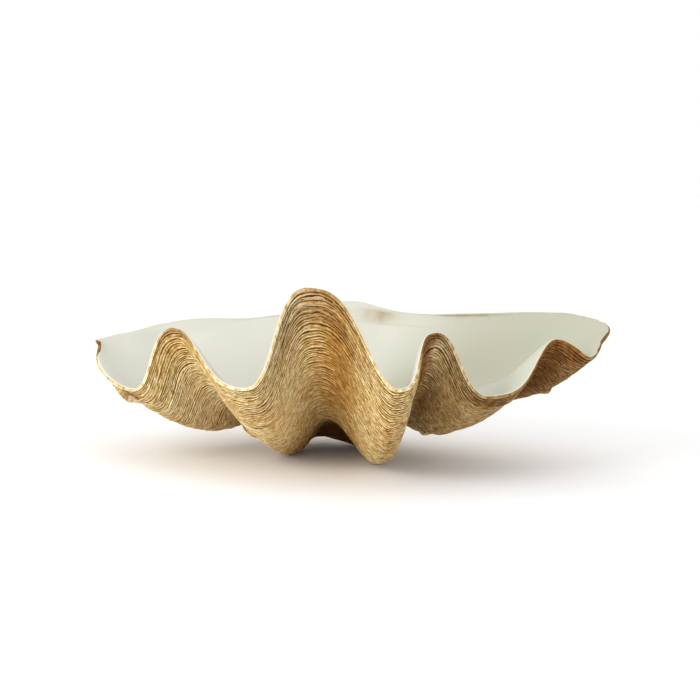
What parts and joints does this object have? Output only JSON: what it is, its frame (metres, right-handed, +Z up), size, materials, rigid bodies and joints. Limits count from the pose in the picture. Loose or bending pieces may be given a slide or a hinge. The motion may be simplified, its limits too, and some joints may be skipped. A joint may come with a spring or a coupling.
{
  "type": "giant clam shell",
  "caption": "One valve of a giant clam lying open side up: a deep fluted bowl with a wavy lip, a smooth hollow and growth lines outside.",
  "frame": {"origin": "centre of the footprint, on the surface the valve lies on", "axes": "+X along the hinge, +Y towards the hinge and beak, +Z up out of the hollow"},
  "size_m": [0.7044, 0.4856, 0.2526],
  "materials": {
    "shell": "dry tan growth-lined outside, smooth off-white porcelain-like hollow"
  },
  "bodies": {
    "root": {"shell_valve": "shell"}
  },
  "joints": []
}
